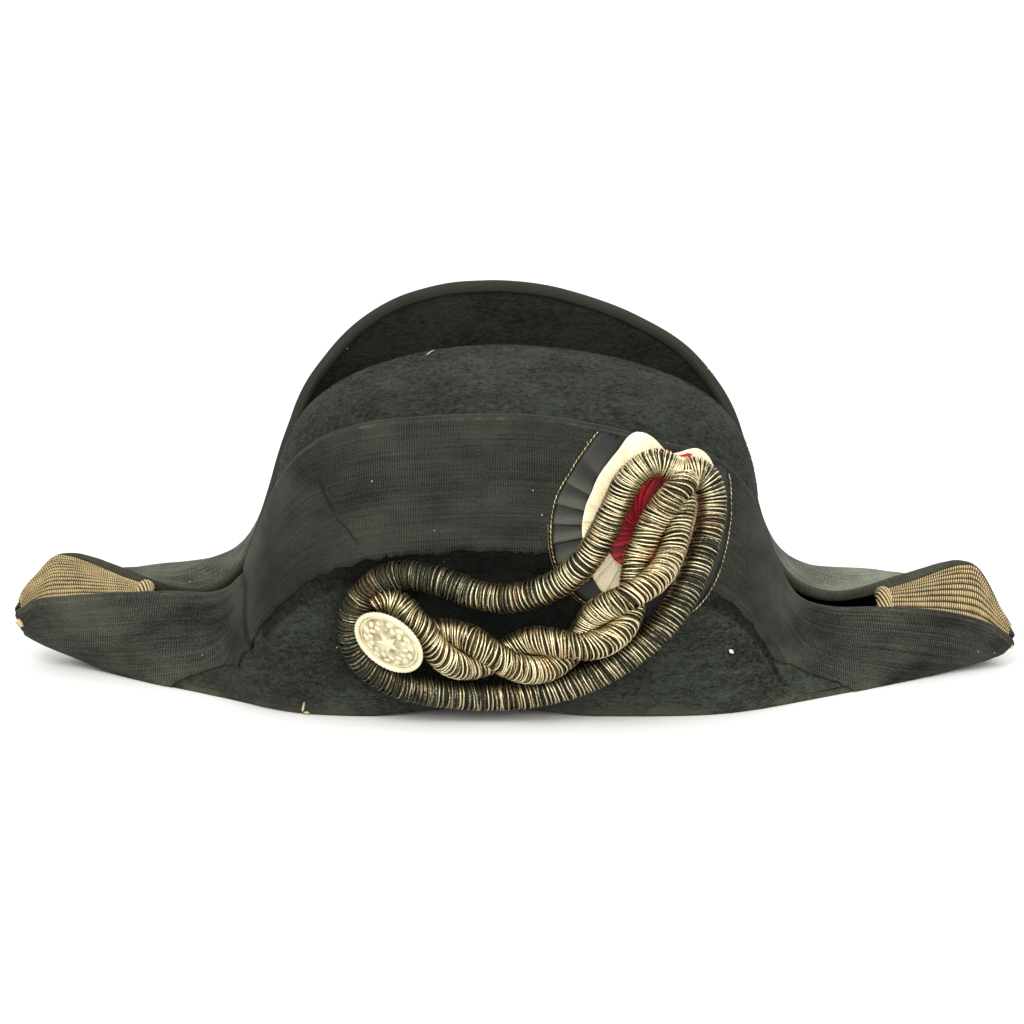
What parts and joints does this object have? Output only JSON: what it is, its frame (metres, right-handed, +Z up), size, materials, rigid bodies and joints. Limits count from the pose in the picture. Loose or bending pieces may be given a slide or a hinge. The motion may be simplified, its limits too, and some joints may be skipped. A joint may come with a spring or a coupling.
{
  "type": "cocked hat",
  "caption": "Cocked hat of black felt: brim turned up in tall leaves round a domed crown, with ribbed ribbon, pleated cockade, bullion loop, gilt button and tassels in the points.",
  "frame": {"origin": "centre of the bottom of the bounding box; the hat stands on it by itself", "axes": "+X along the hat, -Y towards the lower leaf with the cockade, +Z up through the crown"},
  "size_m": [0.4504, 0.2226, 0.1592],
  "materials": {
    "felt": "short-napped black felt, worn at the edges",
    "plush": "black silk plush with a level nap",
    "ribbon": "finely ribbed faded black silk",
    "cockade_black_silk": "pleated black silk",
    "cockade_cream_silk": "pleated cream silk",
    "cockade_red_silk": "pleated crimson silk",
    "bullion": "tarnished coiled gilt wire",
    "gilt": "pale gilt with a raised device",
    "tassel_gold": "dull gold thread over cords"
  },
  "bodies": {
    "root": {"brim": "felt", "crown": "plush", "near_ribbon": "ribbon", "far_ribbon": "ribbon", "cockade_black": "cockade_black_silk", "cockade_white": "cockade_cream_silk", "cockade_red": "cockade_red_silk", "cockade_piping": "bullion", "bullion_loop": "bullion", "bullion_twist_a": "bullion", "bullion_twist_b": "bullion", "button": "gilt", "left_tassel": "tassel_gold", "right_tassel": "tassel_gold"}
  },
  "joints": []
}
